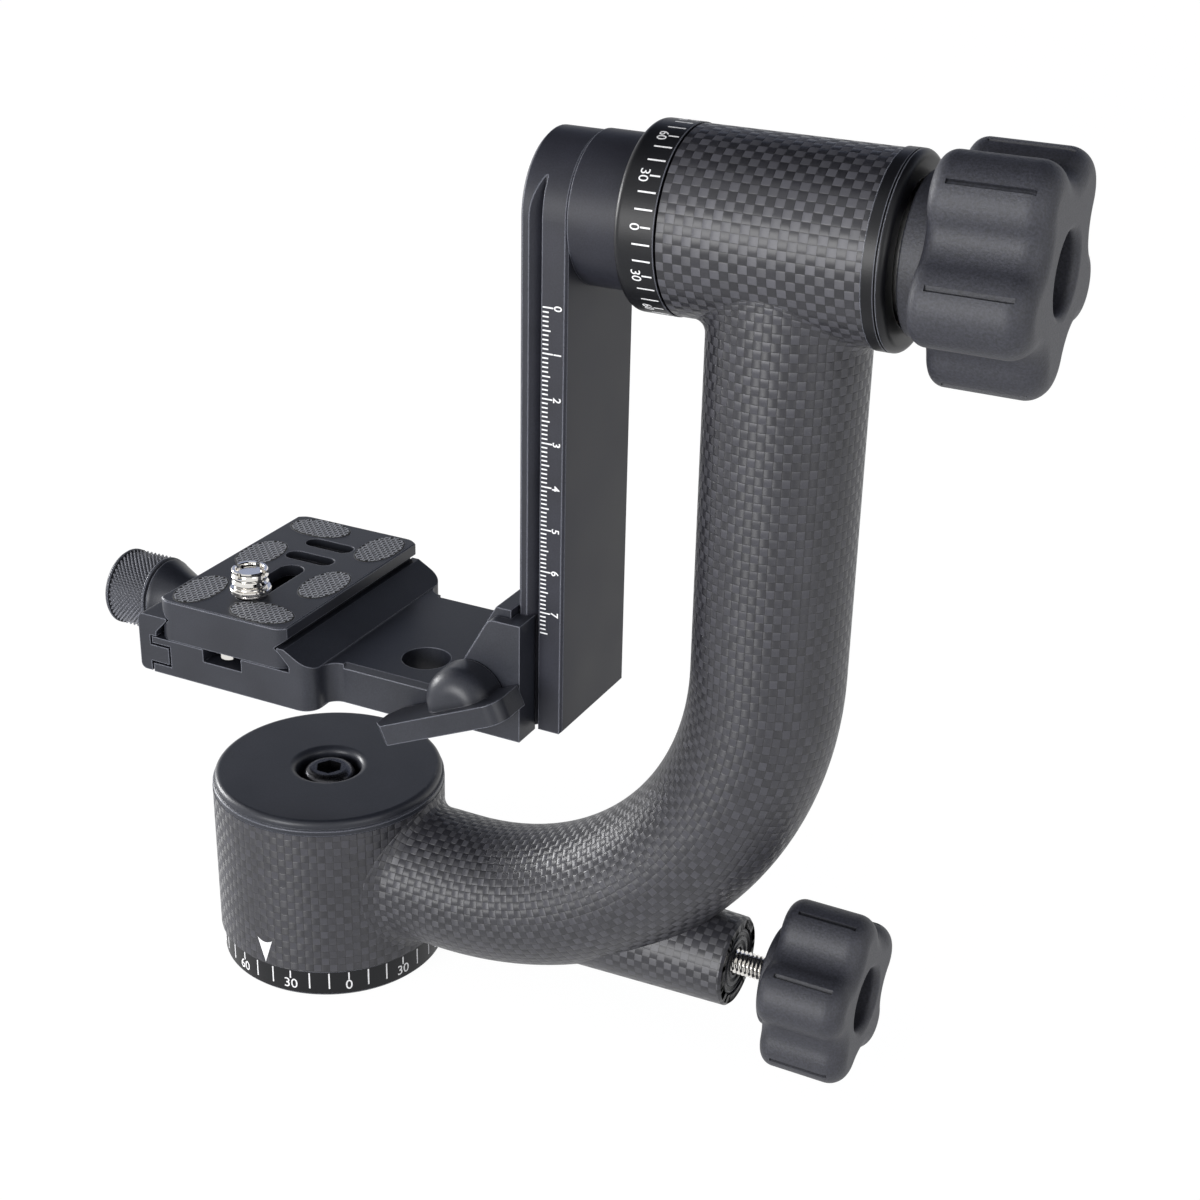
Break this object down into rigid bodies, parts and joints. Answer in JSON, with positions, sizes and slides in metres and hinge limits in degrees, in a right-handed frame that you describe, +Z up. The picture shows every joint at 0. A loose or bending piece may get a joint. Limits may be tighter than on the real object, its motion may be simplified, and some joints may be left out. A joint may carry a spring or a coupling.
{
  "type": "gimbal tripod head",
  "caption": "Side-mount gimbal head: round pan base, bent carbon arm, tilt hub and knob, swing arm with ruler, and a height-adjustable quick release camera platform.",
  "frame": {"origin": "mouth of the tripod thread, in the middle of the base's bottom face", "axes": "+Z up along the pan axis, +X towards the bent arm and both lobed knobs, the clamp lever on -Y"},
  "size_m": [0.2344, 0.064, 0.2278],
  "materials": {
    "black_anodised": "satin",
    "carbon_fibre": "satin",
    "knob_rubber": "matte",
    "pad_rubber": "matte",
    "bright_steel": "polished",
    "bearing_steel": "satin",
    "black_steel": "satin",
    "white_enamel": "satin",
    "friction_lining": "matte"
  },
  "bodies": {
    "tripod_base": {"pan_dial_ring": "black_anodised", "base_plate": "black_anodised", "pan_spindle": "bearing_steel", "brake_drum": "bearing_steel", "spindle_screws": "black_steel", "centre_washer": "black_anodised", "centre_screw": "black_steel", "pan_bearing_inner_rings": "bearing_steel", "pan_bearing_balls": "bearing_steel"},
    "pan_arm": {"base_sleeve": "carbon_fibre", "base_housing": "black_anodised", "bearing_carrier": "black_anodised", "base_cap": "black_anodised", "pan_bearing_outer_rings": "bearing_steel", "j_tube": "carbon_fibre", "lock_boss": "black_anodised", "lock_insert": "black_anodised", "rod_guide": "black_anodised", "tilt_sleeve": "carbon_fibre", "tilt_housing": "black_anodised", "tilt_collar": "black_anodised", "friction_disc": "friction_lining", "tilt_bearing_outer_rings": "bearing_steel"},
    "lock_slider": {"brake_shoe": "friction_lining", "push_rod": "bearing_steel"},
    "pan_lock": {"pan_lock_stud": "bright_steel", "pan_knob_core": "black_anodised", "pan_lock_knob": "knob_rubber"},
    "tilt_arm": {"swing_arm": "black_anodised", "arm_hub": "black_anodised", "hub_screws": "black_steel", "rail_stop_screws": "black_steel", "tilt_dial": "black_anodised", "tilt_shaft": "bearing_steel", "shaft_spacer": "black_anodised", "tilt_bearing_inner_rings": "bearing_steel", "tilt_bearing_balls": "bearing_steel"},
    "tilt_thrust": {"thrust_washer": "bearing_steel"},
    "tilt_lock": {"tilt_knob_core": "black_anodised", "tilt_knob": "knob_rubber"},
    "platform": {"platform_body": "black_anodised", "plate_stop_pin": "bearing_steel"},
    "arm_clamp_jaw": {"arm_jaw": "black_anodised", "arm_jaw_pins": "bearing_steel"},
    "arm_clamp_lever": {"clamp_lever": "black_anodised", "lever_screw": "black_steel"},
    "plate_clamp_jaw": {"qr_jaw": "black_anodised", "qr_guide_pins": "bearing_steel"},
    "plate_clamp_knob": {"qr_knob": "black_anodised", "qr_screw": "black_steel"},
    "camera_plate": {"qr_plate": "black_anodised", "plate_pads": "pad_rubber", "plate_stop_screws": "bright_steel"},
    "screw_carrier": {"screw_retainer": "bearing_steel"},
    "camera_fixing": {"camera_screw": "bright_steel", "thread_adapter": "bright_steel"}
  },
  "joints": [
    {"name": "pan", "type": "hinge", "parent": "tripod_base", "child": "pan_arm", "pos_m": [0, 0, 0], "axis": [0, 0, 1], "continuous": true},
    {"name": "pan_lock_travel", "type": "slide", "parent": "pan_arm", "child": "lock_slider", "axis": [1, 0, 0], "range_m": [-0.0005, 0.003]},
    {"name": "pan_lock_turn", "type": "hinge", "parent": "lock_slider", "child": "pan_lock", "pos_m": [0.1267, 0, 0.029], "axis": [1, 0, 0], "range_deg": [-181, 1081]},
    {"name": "tilt", "type": "hinge", "parent": "pan_arm", "child": "tilt_arm", "pos_m": [0, 0, 0.205], "axis": [1, 0, 0], "continuous": true},
    {"name": "tilt_lock_travel", "type": "slide", "parent": "tilt_arm", "child": "tilt_thrust", "axis": [1, 0, 0], "range_m": [-0.0005, 0.002]},
    {"name": "tilt_lock_turn", "type": "hinge", "parent": "tilt_thrust", "child": "tilt_lock", "pos_m": [0.1464, 0, 0.205], "axis": [1, 0, 0], "range_deg": [-145, 577]},
    {"name": "platform_height", "type": "slide", "parent": "tilt_arm", "child": "platform", "axis": [0, 0, 1], "range_m": [0, 0.07]},
    {"name": "arm_clamp_travel", "type": "slide", "parent": "platform", "child": "arm_clamp_jaw", "axis": [0, -1, 0], "range_m": [0, 0.0005]},
    {"name": "arm_clamp_turn", "type": "hinge", "parent": "arm_clamp_jaw", "child": "arm_clamp_lever", "pos_m": [0.0555, -0.022, 0.0958], "axis": [0, -1, 0], "range_deg": [0, 180.5]},
    {"name": "plate_clamp_travel", "type": "slide", "parent": "platform", "child": "plate_clamp_jaw", "axis": [-1, 0, 0], "range_m": [0, 0.004]},
    {"name": "plate_clamp_turn", "type": "hinge", "parent": "plate_clamp_jaw", "child": "plate_clamp_knob", "pos_m": [-0.033, 0, 0.088], "axis": [-1, 0, 0], "range_deg": [0, 1441]},
    {"name": "plate_slide", "type": "slide", "parent": "platform", "child": "camera_plate", "axis": [0, 1, 0], "range_m": [-0.02, 0.02]},
    {"name": "screw_slide", "type": "slide", "parent": "camera_plate", "child": "screw_carrier", "axis": [0, 1, 0], "range_m": [-0.0005, 0.0155]},
    {"name": "screw_turn", "type": "hinge", "parent": "screw_carrier", "child": "camera_fixing", "pos_m": [-0.0084, -0.0172, 0.104], "axis": [0, 0, 1], "continuous": true}
  ],
  "couplings": [
    {"joint": "pan_lock_turn", "follows": "pan_lock_travel", "rad_per_m": 6283.2},
    {"joint": "tilt_lock_turn", "follows": "tilt_lock_travel", "rad_per_m": 5026.5},
    {"joint": "arm_clamp_turn", "follows": "arm_clamp_travel", "rad_per_m": 6283.2},
    {"joint": "plate_clamp_turn", "follows": "plate_clamp_travel", "rad_per_m": 6283.2}
  ]
}
